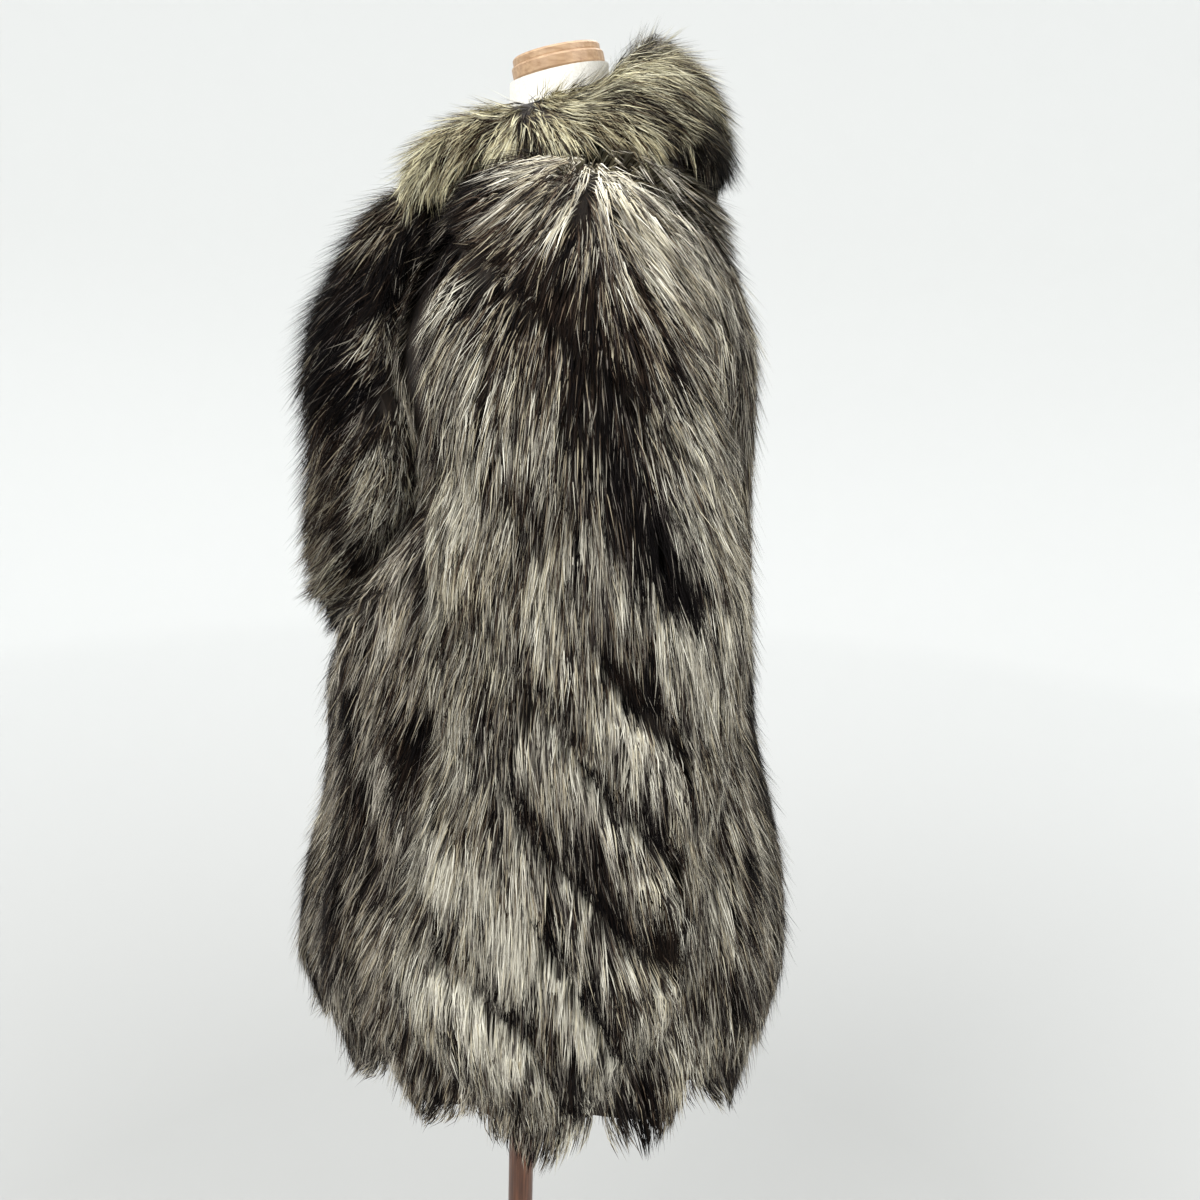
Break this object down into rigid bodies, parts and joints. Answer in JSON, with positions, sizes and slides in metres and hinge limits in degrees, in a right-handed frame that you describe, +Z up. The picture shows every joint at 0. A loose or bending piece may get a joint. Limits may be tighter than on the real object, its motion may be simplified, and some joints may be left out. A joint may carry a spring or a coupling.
{
  "type": "fur coat on a limbless dress form",
  "caption": "Short long-haired fur coat with a rolled collar, wide lapels and slanting-pelt sleeves, hanging open at hem and cuffs on a limbless dress form with a pole stand.",
  "frame": {"origin": "middle of the base's underside, on the floor", "axes": "+Z up, -Y towards the coat's front, +X towards the wearer's left"},
  "size_m": [0.608, 0.4625, 1.485],
  "materials": {
    "fur_back": "long grey and silver fox fur with dark tips",
    "fur_front": "long dark grey-brown and silver fox fur",
    "fur_sleeve": "long fox fur in slanting bands of cream, brown and blue-black",
    "fur_dark": "long near-black fox fur",
    "fur_collar": "long olive-grey and cream fox fur",
    "form_cloth": "off-white plain cloth over a hard torso",
    "cap_wood": "pale turned wood, satin varnish",
    "pole_wood": "dark brown stained wood, satin varnish",
    "base_wood": "dark brown stained wood, satin varnish"
  },
  "bodies": {
    "root": {"stand_base": "base_wood", "stand_pole": "pole_wood", "dress_form": "form_cloth", "neck_cap": "cap_wood", "coat_back": "fur_back", "coat_front_left": "fur_front", "coat_front_right": "fur_front", "sleeve_left": "fur_sleeve", "sleeve_right": "fur_sleeve", "lapel_left": "fur_dark", "lapel_right": "fur_dark", "collar": "fur_collar"}
  },
  "joints": []
}
